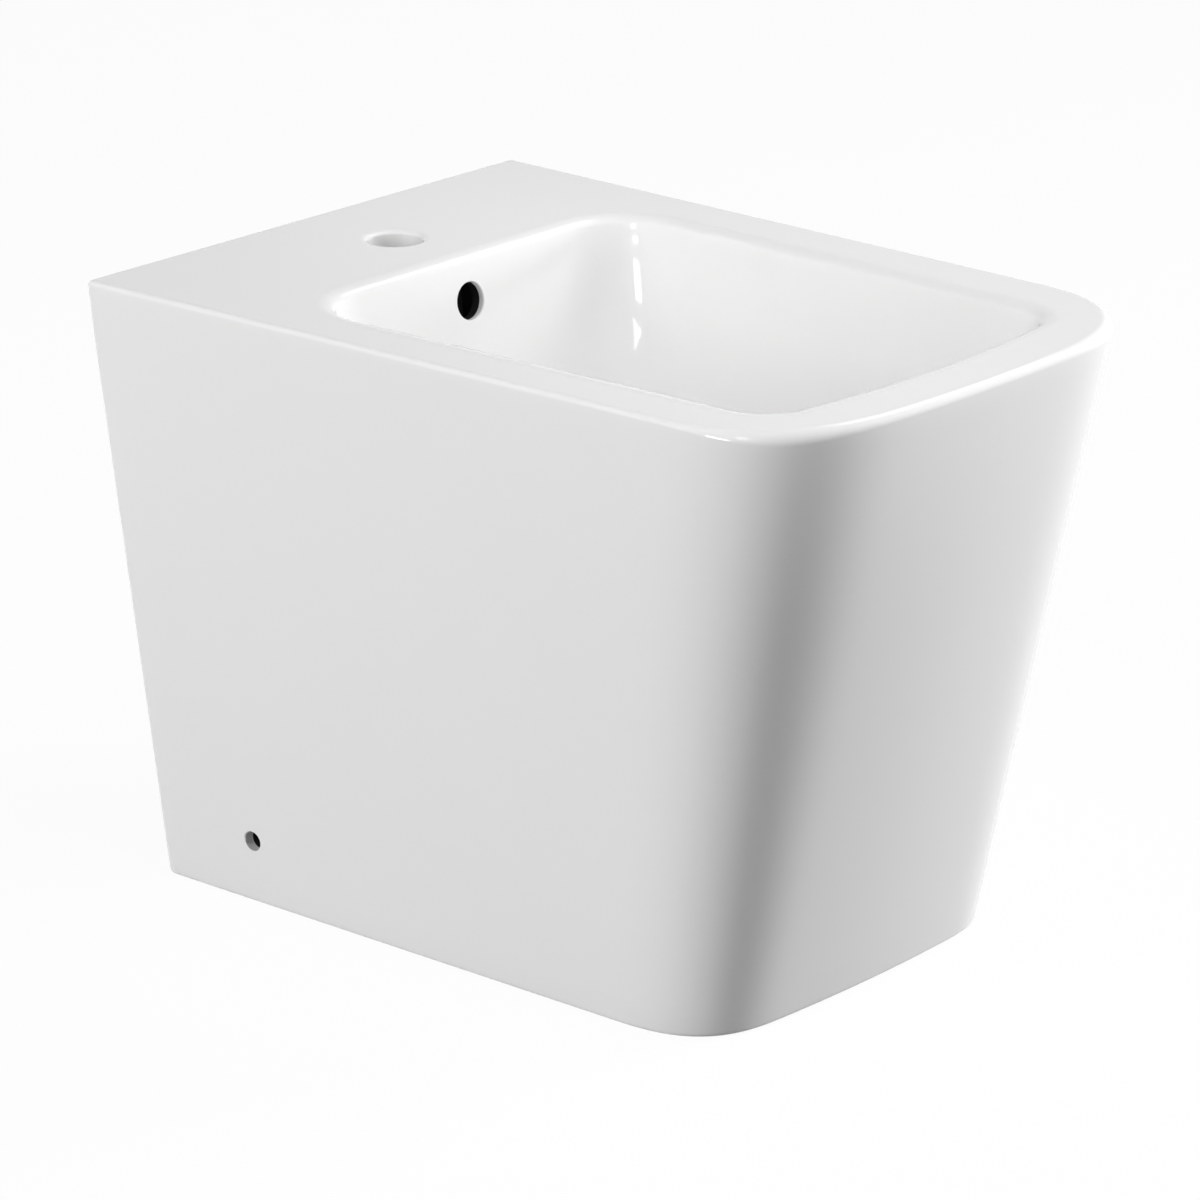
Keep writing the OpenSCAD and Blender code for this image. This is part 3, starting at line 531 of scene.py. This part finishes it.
def side_boss(side):
    """Round boss inside the wall that the clamp screw squeezes."""
    x = side_x(SIDE_Y, SIDE_HOLE_Z)
    land = x - SIDE_HOLE_DEPTH - CLAMP_LAND
    r = SIDE_BOSS_D / 2
    foot, mid = 2.0, 0.6
    profile = [(r - foot, land), (r - mid, land + mid), (r, land + foot), (r, x - WALL_T / 2 - 1)]
    return side_bar(f"side_boss_{side}", profile, side)


def paint(obj, slot=None):
    """Gives a solid the casting's three materials (glaze, raw china and the duct's near-black painted shade),
    and all of its faces one of them if a slot is named.
    """
    for name in ("glaze", "raw", "duct"):
        obj.data.materials.append(MATERIALS[name])
    if slot is not None:
        count = len(obj.data.polygons)
        obj.data.polygons.foreach_set("material_index", np.full(count, slot, dtype=np.int32))


def china_body():
    """The whole casting: one loft from the bowl's floor over rim and foot to the hidden back of the bowl,
    with the duct and bosses joined to it and its holes cut with rolled mouths."""
    glazed, raw = glazed_levels(), raw_levels()
    verts, faces = loft(glazed + raw)
    faces = [f[::-1] for f in faces]  # the levels start in the hollow of the bowl
    n = len(glazed[0])
    slots = np.zeros(len(faces), dtype=int)
    slots[(len(glazed) - 1) * n:(len(glazed) + len(raw) - 1) * n] = 1
    slots[-n:] = 1
    obj = new_object("china", verts, faces, slots)
    joined = [duct_rib(), side_boss(1), side_boss(-1)]
    for other in joined:
        paint(other, 1)
    paint(obj)
    combine(obj, joined, "UNION")

    tap = rolled_hole(TAP_D / 2, TAP_ROLL, DECK_T + 2 * PAST, n=14, drop=TAP_DROP) + [0, BODY_H]
    outlet = rolled_hole(OUTLET_D / 2, OUTLET_ROLL, BOSS_H + PAST) + [0, SEAT_Z]
    dish = rolled_hole(DISH_R, OUTLET_ROLL, DISH_DEPTH) + [0, OUTLET_Z]
    outlet = np.concatenate([outlet[:-1], dish])
    cutters = [
        new_object("tap_hole", *turned(tap, (0, TAP_Y, 0))),
        new_object("outlet", *turned(outlet, (0, OUTLET_Y, 0))),
        overflow_hole(), duct_channel(), back_opening(), side_hole(1), side_hole(-1)]
    # The duct channel's faces take slot 2, the near-black painted shade; the overflow and side hole cutters
    # bring their own rows of painted shade.
    for other, slot in zip(cutters, (0, 0, None, 2, 1, None, None)):
        paint(other, slot)
    combine(obj, cutters, "DIFFERENCE")
    obj.data.set_sharp_from_angle(angle=CHINA_SHARP)
    return obj


def overflow_hole():
    """Cutter for the overflow hole, square to the sloping rear wall of the bowl. Past its glazed mouth the
    hole's faces take the near-black painted shade.
    """
    z = BODY_H - OVERFLOW_DROP
    depth = CHANNEL_FRONT + CHANNEL_T / 2
    profile = rolled_hole(OVERFLOW_D / 2, OVERFLOW_ROLL, depth, 12.0)
    profile = np.insert(profile, 1, [OVERFLOW_D / 2, -OVERFLOW_GLAZED], axis=0)
    verts, faces = turned(profile * [1, -1], (0, 0, 0), "y", BAR_POINTS)
    faces = [f[::-1] for f in faces]
    slots = np.zeros(len(faces), dtype=int)
    # Painted shade: the hole's depth beyond the glazed mouth is near-black.
    slots[:BAR_POINTS] = 2
    tilt = -math.atan(REAR_SLOPE)
    c, s = math.cos(tilt), math.sin(tilt)
    turn = np.array([[1, 0, 0], [0, c, -s], [0, s, c]])
    place = np.array([0, BOWL_REAR_Y - REAR_SLOPE * OVERFLOW_DROP, z])
    return new_object("overflow", verts @ turn.T + place, faces, slots)


def wound(name, turns, r, z, centre):
    """Closed solid on a helix: at each number of turns a ring of points at radii r and heights z."""
    a = TAU * turns[:, None]
    r, z = np.broadcast_arrays(r, z)
    rings = np.stack([centre[0] + r * np.cos(a), centre[1] + r * np.sin(a), z], -1)
    return new_object(name, *loft(list(rings)))


def coil_spring():
    """Round wire wound on a helix, rising by one close turn at each end and evenly between them,
    inside the box of the CAD's spring."""
    low, high = (np.array(corner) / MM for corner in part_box("cartridge_spring"))
    radius, rise = (high[0] - low[0] - SPRING_WIRE) / 2, high[2] - low[2] - SPRING_WIRE
    count = SPRING_TURNS + 2
    turns = np.linspace(0, count, SPRING_POINTS * count + 1)
    z = np.interp(turns, [0, 1, count - 1, count], [0, SPRING_CLOSE, rise - SPRING_CLOSE, rise])
    b = -np.arange(WIRE_POINTS) * TAU / WIRE_POINTS
    obj = wound("spring", turns, radius + SPRING_WIRE / 2 * np.cos(b),
                low[2] + SPRING_WIRE / 2 + z[:, None] + SPRING_WIRE / 2 * np.sin(b), (low + high) / 2)
    obj.data.materials.append(MATERIALS["zinc"])
    return obj


def threaded_waste():
    """The waste's body with its thread: a triangle carried up the tube along a helix, which runs out
    at both ends, is cut out of a welded copy of the CAD's solid."""
    low, high = (np.array(corner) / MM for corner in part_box("waste_body"))
    obj = bpy.data.objects.new("waste", frame["nodes"]["waste_body"].data.copy())
    bpy.context.scene.collection.objects.link(obj)
    work = bmesh.new()
    work.from_mesh(obj.data)
    bmesh.ops.remove_doubles(work, verts=work.verts, dist=0.001 * MM)
    work.to_mesh(obj.data)
    work.free()
    count = THREAD_L / THREAD_PITCH
    turns = np.linspace(0, count, int(THREAD_POINTS * count))
    fade = np.clip(2 * np.minimum(turns, count - turns), 0, 1)
    depth = np.outer((THREAD_DEPTH + THREAD_OVER) * fade + 0.05, [0, 0, 1])
    r = WASTE_TUBE_R + THREAD_OVER - depth
    z = low[2] + WASTE_TAIL_L + turns[:, None] * THREAD_PITCH + THREAD_HALF * np.array([1, -1, 0])
    groove = wound("thread", turns, r, z, (low + high) / 2)
    combine(obj, [groove], "DIFFERENCE")
    obj.data.polygons.foreach_set("use_smooth", np.ones(len(obj.data.polygons), dtype=bool))
    obj.data.set_sharp_from_angle(angle=WASTE_SHARP)
    return obj


def nodes_of(name):
    """A new material with its node tree and its Principled shader."""
    mat = bpy.data.materials.new(name)
    mat.use_nodes = True
    return mat, mat.node_tree, mat.node_tree.nodes["Principled BSDF"]


def add(tree, kind, **values):
    """A new node with its properties and, for names of inputs, their values set."""
    node = tree.nodes.new(kind)
    for key, value in values.items():
        if hasattr(node, key):
            setattr(node, key, value)
        else:
            node.inputs[key.replace("_", " ")].default_value = value
    return node


def group(name, inputs, outputs):
    """An empty node group with float or colour sockets, and its input and output nodes."""
    tree = bpy.data.node_groups.new(name, "ShaderNodeTree")
    for key, value in inputs.items():
        kind = "NodeSocketVector" if value is None else "NodeSocketFloat"
        socket = tree.interface.new_socket(key, in_out="INPUT", socket_type=kind)
        if value is not None:
            socket.default_value = value
    for key, kind in outputs.items():
        tree.interface.new_socket(key, in_out="OUTPUT", socket_type=kind)
    return tree, tree.nodes.new("NodeGroupInput"), tree.nodes.new("NodeGroupOutput")


def uneven_surface():
    """Group: slow waviness and fine grain of a surface, as a normal, and a mask of the same two scales."""
    tree, start, end = group(
        "uneven_surface",
        {"Vector": None, "Wave scale": 8.0, "Wave height": 0.001,
         "Grain scale": 400.0, "Grain height": 0.0001},
        {"Normal": "NodeSocketVector", "Mask": "NodeSocketFloat"})
    link = tree.links.new
    wave = add(tree, "ShaderNodeTexNoise", Detail=2.0, Roughness=0.45)
    grain = add(tree, "ShaderNodeTexNoise", Detail=3.0, Roughness=0.6)
    link(start.outputs["Vector"], wave.inputs["Vector"])
    link(start.outputs["Vector"], grain.inputs["Vector"])
    link(start.outputs["Wave scale"], wave.inputs["Scale"])
    link(start.outputs["Grain scale"], grain.inputs["Scale"])
    bumps = []
    for source, height in ((wave, "Wave height"), (grain, "Grain height")):
        bump = add(tree, "ShaderNodeBump", Strength=1.0)
        link(source.outputs["Fac"], bump.inputs["Height"])
        link(start.outputs[height], bump.inputs["Distance"])
        bumps.append(bump)
    link(bumps[0].outputs["Normal"], bumps[1].inputs["Normal"])
    blend = add(tree, "ShaderNodeMath", operation="MULTIPLY_ADD")
    blend.inputs[1].default_value = 0.3
    scaled = add(tree, "ShaderNodeMath", operation="MULTIPLY")
    scaled.inputs[1].default_value = 0.7
    link(grain.outputs["Fac"], blend.inputs[0])
    link(wave.outputs["Fac"], scaled.inputs[0])
    link(scaled.outputs[0], blend.inputs[2])
    link(bumps[1].outputs["Normal"], end.inputs["Normal"])
    link(blend.outputs[0], end.inputs["Mask"])
    return tree


UNEVEN = uneven_surface()


def finish(name, dark, light, rough, wave=(8, 0.0005), grain=(400, 0.00005), **sockets):
    """A material whose colour and roughness drift between two values with the surface's unevenness."""
    mat, tree, shader = nodes_of(name)
    link = tree.links.new
    where = add(tree, "ShaderNodeTexCoord")
    uneven = add(tree, "ShaderNodeGroup", node_tree=UNEVEN)
    uneven.inputs["Wave scale"].default_value, uneven.inputs["Wave height"].default_value = wave
    uneven.inputs["Grain scale"].default_value, uneven.inputs["Grain height"].default_value = grain
    link(where.outputs["Object"], uneven.inputs["Vector"])
    tone = add(tree, "ShaderNodeMix", data_type="RGBA")
    tone.inputs[6].default_value = (*dark, 1)
    tone.inputs[7].default_value = (*light, 1)
    link(uneven.outputs["Mask"], tone.inputs[0])
    link(tone.outputs[2], shader.inputs["Base Color"])
    sheen = add(tree, "ShaderNodeMapRange")
    sheen.inputs["From Min"].default_value = 0.3
    sheen.inputs["From Max"].default_value = 0.7
    sheen.inputs["To Min"].default_value, sheen.inputs["To Max"].default_value = rough
    link(uneven.outputs["Mask"], sheen.inputs["Value"])
    link(sheen.outputs["Result"], shader.inputs["Roughness"])
    link(uneven.outputs["Normal"], shader.inputs["Normal"])
    for key, value in sockets.items():
        shader.inputs[key.replace("_", " ")].default_value = value
    return mat


MATERIALS = {
    "glaze": finish("glaze", (0.9, 0.9, 0.897), (0.915, 0.915, 0.912), (0.01, 0.02),
                    (7, 0.0001), (900, 0.0000005), IOR=1.5),
    # Near-black painted shade for the inside of the duct and the depths of the holes: it stands for the shade
    # there, not for a colour of the china.
    "duct": finish("duct_painted_shade", (0.008, 0.008, 0.008), (0.02, 0.019, 0.018), (0.6, 0.85),
                   (30, 0.0005), (700, 0.00008), Specular_IOR_Level=0.1),
    "raw": finish("raw_china", (0.72, 0.69, 0.65), (0.84, 0.82, 0.79), (0.55, 0.8),
                  (30, 0.0008), (700, 0.00008)),
    "chrome": finish("chrome", (0.78, 0.79, 0.8), (0.86, 0.87, 0.88), (0.04, 0.12),
                     (40, 0.00005), (900, 0.000005), Metallic=1.0),
    "brass": finish("brass", (0.62, 0.44, 0.18), (0.8, 0.62, 0.3), (0.18, 0.34),
                    (60, 0.0001), (900, 0.00002), Metallic=1.0),
    "rubber": finish("rubber", (0.02, 0.02, 0.022), (0.045, 0.045, 0.048), (0.5, 0.7),
                     (60, 0.0001), (1200, 0.00003)),
    "plastic": finish("white_plastic", (0.74, 0.74, 0.72), (0.82, 0.82, 0.8), (0.35, 0.5),
                      (50, 0.0001), (1500, 0.00001)),
    "zinc": finish("zinc_steel", (0.5, 0.52, 0.55), (0.66, 0.67, 0.68), (0.25, 0.42),
                   (90, 0.0001), (1200, 0.00001), Metallic=1.0),
}
SLOT_MATERIALS = {
    "glazed_china": "glaze", "chromed_brass": "chrome", "plain_brass": "brass",
    "black_rubber": "rubber", "white_plastic": "plastic", "zinc_steel": "zinc"}


def dress_nodes():
    """Gives every CAD node that stays the material of its slot."""
    for part in frame["record"]["subparts"]:
        mesh = frame["nodes"][part["node"]].data
        mesh.materials.clear()
        mesh.materials.append(MATERIALS[SLOT_MATERIALS[part["material_slot"]]])


def camera():
    """Camera at the photograph's angle and distance, with the framing of its fitted view."""
    azimuth, elevation = math.radians(-49.0), math.radians(19.07)
    distance, aim_right, aim_up, aim_z = 3517 * MM, -19.8 * MM, 3.1 * MM, 200 * MM
    sensor, focal_share = 36.0, 4.722
    back = np.array([math.sin(azimuth) * math.cos(elevation),
                     -math.cos(azimuth) * math.cos(elevation), math.sin(elevation)])
    right = np.array([math.cos(azimuth), math.sin(azimuth), 0])
    up = np.cross(back, right)
    data = bpy.data.cameras.new("camera")
    data.sensor_width = sensor
    data.lens = sensor * focal_share
    data.clip_end = 50
    obj = bpy.data.objects.new("camera", data)
    obj.location = np.array([0, 0, aim_z]) + back * distance + right * aim_right + up * aim_up
    obj.rotation_euler = (math.pi / 2 - elevation, 0, azimuth)
    bpy.context.scene.collection.objects.link(obj)
    bpy.context.scene.camera = obj


def placed(data, azimuth, elevation, distance, aim, roll=0.0):
    """Lamp at a direction from its aim, turned to face it. Azimuth 0 is in front, 90 to the right."""
    a, e = math.radians(azimuth), math.radians(elevation)
    out = np.array([math.sin(a) * math.cos(e), -math.cos(a) * math.cos(e), math.sin(e)])
    obj = bpy.data.objects.new(data.name, data)
    obj.location = np.asarray(aim) + out * distance
    turn = Euler((math.pi / 2 - e, 0, a)).to_matrix() @ Euler((0, 0, math.radians(roll))).to_matrix()
    obj.rotation_euler = turn.to_euler()
    bpy.context.scene.collection.objects.link(obj)
    return obj


def softbox(name, azimuth, elevation, distance, size, power, aim=(0, 0, 0.2), roll=0.0):
    """Rectangular area lamp."""
    data = bpy.data.lights.new(name, "AREA")
    data.shape = "RECTANGLE"
    data.size, data.size_y = size
    data.energy = power
    return placed(data, azimuth, elevation, distance, aim, roll)


def spotlight(azimuth, elevation, distance, aim, cone, power, radius):
    """Spot lamp with a soft edge."""
    data = bpy.data.lights.new("spot", "SPOT")
    data.energy = power
    data.spot_size = math.radians(cone)
    data.spot_blend = 1.0
    data.shadow_soft_size = radius
    return placed(data, azimuth, elevation, distance, aim)


# Name, azimuth, elevation, distance, size, power. These light the china and don't show in its gloss.
SOFT_LAMPS = [
    ("left", -103, 25, 4.5, (2.0, 2.0), 91),
    ("left_low", -110, 5, 3.0, (1.3, 1.3), 15),
    ("left_floor", -100, 0, 3.0, (1.3, 1.3), 19),
    ("right_low", 58, 2, 3.0, (1.3, 1.3), 90),
    ("right_high", 60, 35, 3.0, (1.3, 1.3), 40),
    ("top", -10, 62, 3.0, (1.3, 1.3), 30),
]
# Azimuth, elevation, distance, aim, cone, power and radius of the spot that fills the bowl's rear wall
SPOT = -20, 24, 3.0, (0.065, 0.12, 0.34), 5.5, 140, 0.15
# Name, azimuth, elevation, distance, size, radiance, aim. These show in the gloss and light nothing.
CRISP_LAMPS = [
    ("rim", 93, 47, 3.0, (0.8, 1.2), 4, (0, 0, 0.4)),
    ("strip", -88, -6, 1.2, (0.42, 0.4), 12, (-0.178, -0.214, 0.395)),
]
# A window of panes for the gloss, seen from the bowl's rear right corner and turned about the line of sight
WINDOW_AT, WINDOW_AZIMUTH, WINDOW_DISTANCE, WINDOW_W = (0.132, 0.1085, 0.36), -60, 3.0, 0.5
WINDOW_ROLL = 6.8
# Middle along the window, bottom and top above that corner, and radiance
PANES = [(0.18, 0.622, 0.675, 7), (-0.065, 0.704, 0.75, 7), (-0.09, 0.77, 0.79, 7), (-0.1, 0.95, 2.4, 5)]
# Strength of the sky and colour of the floor for the light that they throw on the china
SKY, FLOOR_BOUNCE = 0.0, 0.2
# Colour of the floor as it shows, the share of it that glows, half its width and its gap below the feet
FLOOR_SHOWN, FLOOR_GLOW, FLOOR_HALF, FLOOR_GAP = 0.92, 0.95, 30.0, 0.0005


def lamps():
    """Soft lamps that don't show in gloss, and crisp lamps and a window that show only there."""
    for lamp in SOFT_LAMPS:
        softbox(*lamp).visible_glossy = False
    spotlight(*SPOT).visible_glossy = False
    for name, azimuth, elevation, distance, size, radiance, aim in CRISP_LAMPS:
        power = math.pi * radiance * size[0] * size[1]
        softbox(name, azimuth, elevation, distance, size, power, aim).visible_diffuse = False
    for i, (along, low, high, radiance) in enumerate(PANES):
        azimuth = WINDOW_AZIMUTH + math.degrees(math.atan(along / WINDOW_DISTANCE))
        distance = math.hypot(along, WINDOW_DISTANCE)
        up = (low + high) / 2 + math.tan(math.radians(WINDOW_ROLL)) * along
        power = math.pi * radiance * WINDOW_W * (high - low)
        pane = softbox(f"pane_{i}", azimuth, math.degrees(math.atan(up / distance)), math.hypot(up, distance),
                       (WINDOW_W, high - low), power, WINDOW_AT, WINDOW_ROLL)
        pane.visible_diffuse = False


def ray_mask(tree, *kinds):
    """Socket that is 1 for the named kinds of Light Path's rays and 0 for the others."""
    path = add(tree, "ShaderNodeLightPath")
    mask = path.outputs[kinds[0]]
    for kind in kinds[1:]:
        either = add(tree, "ShaderNodeMath", operation="MAXIMUM")
        tree.links.new(mask, either.inputs[0])
        tree.links.new(path.outputs[kind], either.inputs[1])
        mask = either.outputs[0]
    return mask


def sky():
    """World that is white to the eye, in gloss and through glass, and throws the sky's own strength."""
    world = bpy.data.worlds.new("studio")
    bpy.context.scene.world = world
    world.use_nodes = True
    tree = world.node_tree
    back = tree.nodes["Background"]
    back.inputs["Color"].default_value = (1, 1, 1, 1)
    strength = add(tree, "ShaderNodeMapRange")
    strength.inputs["To Min"].default_value = SKY
    strength.inputs["To Max"].default_value = 1.0
    mask = ray_mask(tree, "Is Camera Ray", "Is Transmission Ray", "Is Glossy Ray")
    tree.links.new(mask, strength.inputs["Value"])
    tree.links.new(strength.outputs["Result"], back.inputs["Strength"])


def ground():
    """Wide floor, nearly white with a trace of shadow to the eye and in gloss, and darker to the lamps' light
    so that it throws little of it up."""
    mesh = bpy.data.meshes.new("floor")
    h = FLOOR_HALF
    mesh.from_pydata([(-h, -h, 0), (h, -h, 0), (h, h, 0), (-h, h, 0)], [], [(0, 1, 2, 3)])
    floor = bpy.data.objects.new("floor", mesh)
    floor.location.z = -FLOOR_GAP
    bpy.context.scene.collection.objects.link(floor)
    mat, tree, shader = nodes_of("floor")
    link = tree.links.new
    shader.inputs["Roughness"].default_value = 0.8
    shader.inputs["Specular IOR Level"].default_value = 0.2
    seen = ray_mask(tree, "Is Camera Ray", "Is Glossy Ray")
    tone = add(tree, "ShaderNodeMix", data_type="RGBA")
    tone.inputs[6].default_value = (FLOOR_BOUNCE, FLOOR_BOUNCE, FLOOR_BOUNCE, 1)
    tone.inputs[7].default_value = (FLOOR_SHOWN, FLOOR_SHOWN, FLOOR_SHOWN, 1)
    link(seen, tone.inputs[0])
    link(tone.outputs[2], shader.inputs["Base Color"])
    share = add(tree, "ShaderNodeMath", operation="MULTIPLY")
    share.inputs[1].default_value = FLOOR_GLOW
    link(seen, share.inputs[0])
    glow = add(tree, "ShaderNodeEmission", Strength=1.0)
    blend = add(tree, "ShaderNodeMixShader")
    link(share.outputs[0], blend.inputs["Fac"])
    link(shader.outputs["BSDF"], blend.inputs[1])
    link(glow.outputs["Emission"], blend.inputs[2])
    link(blend.outputs["Shader"], tree.nodes["Material Output"].inputs["Surface"])
    mesh.materials.append(mat)


bpy.context.scene.view_settings.view_transform = "Standard"
camera()
lamps()
sky()
ground()
dress_nodes()

china = china_body()
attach(china, "body")
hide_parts("china_body")

spring = coil_spring()
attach(spring, "body")
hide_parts("cartridge_spring")
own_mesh(spring)

waste = threaded_waste()
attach(waste, "body")
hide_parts("waste_body")
